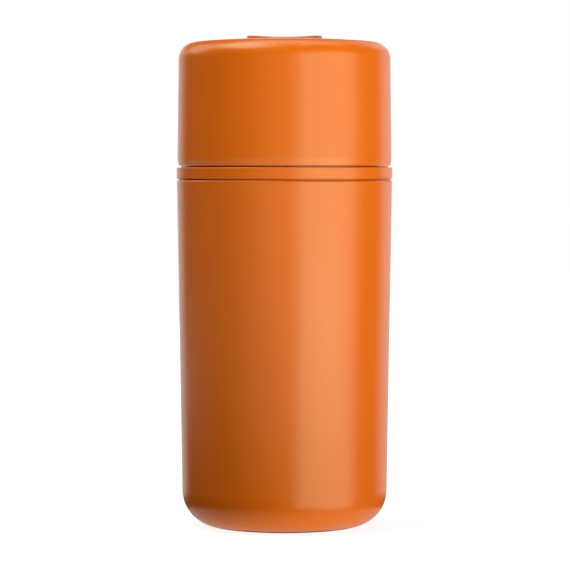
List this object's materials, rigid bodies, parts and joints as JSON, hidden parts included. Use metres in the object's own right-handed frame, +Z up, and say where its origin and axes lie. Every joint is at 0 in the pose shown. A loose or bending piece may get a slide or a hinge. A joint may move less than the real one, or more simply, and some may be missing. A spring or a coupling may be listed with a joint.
{
  "type": "prescription vial",
  "caption": "Tapered orange vial with a rounded foot, a snapped-in threaded neck collar and a domed screw cap that only turns off while its centre button is pressed.",
  "frame": {"origin": "centre of the flat foot, on the surface the vial stands on", "axes": "+Z up the vial's axis to the cap; -Y is the side seen from the front"},
  "size_m": [0.0445, 0.0444, 0.1011],
  "materials": {
    "orange_body": "satin moulded polypropylene",
    "orange_collar": "satin moulded polypropylene",
    "orange_cap": "satin moulded polypropylene",
    "orange_button": "satin moulded polypropylene",
    "natural_plastic": "uncoloured moulded polypropylene",
    "foam": "closed-cell polyethylene foam",
    "seal_rubber": "smooth black rubber",
    "spring_steel": "drawn stainless spring wire",
    "clip_steel": "stamped stainless spring steel"
  },
  "bodies": {
    "vial": {"vial_body": "orange_body", "neck_collar": "orange_collar", "collar_seal": "seal_rubber"},
    "liner": {"cap_liner": "foam"},
    "inner": {"inner_cap": "natural_plastic"},
    "shell": {"outer_cap": "orange_cap", "button_spring": "spring_steel"},
    "button": {"centre_button": "orange_button", "button_clip": "clip_steel"}
  },
  "joints": [
    {"name": "cap_lift", "type": "slide", "parent": "vial", "child": "liner", "axis": [0, 0, 1], "range_m": [0, 0.0081]},
    {"name": "cap_turn", "type": "hinge", "parent": "liner", "child": "inner", "pos_m": [0, 0, 0.08], "axis": [0, 0, 1], "range_deg": [0, 811]},
    {"name": "shell_spin", "type": "hinge", "parent": "inner", "child": "shell", "pos_m": [0, 0, 0.09], "axis": [0, 0, 1], "continuous": true},
    {"name": "button_press", "type": "slide", "parent": "shell", "child": "button", "axis": [0, 0, -1], "range_m": [0, 0.001], "stiffness_N_per_m": 400, "deforming": ["button_spring"]}
  ],
  "couplings": [
    {"joint": "cap_turn", "follows": "cap_lift", "rad_per_m": 1745.3}
  ]
}
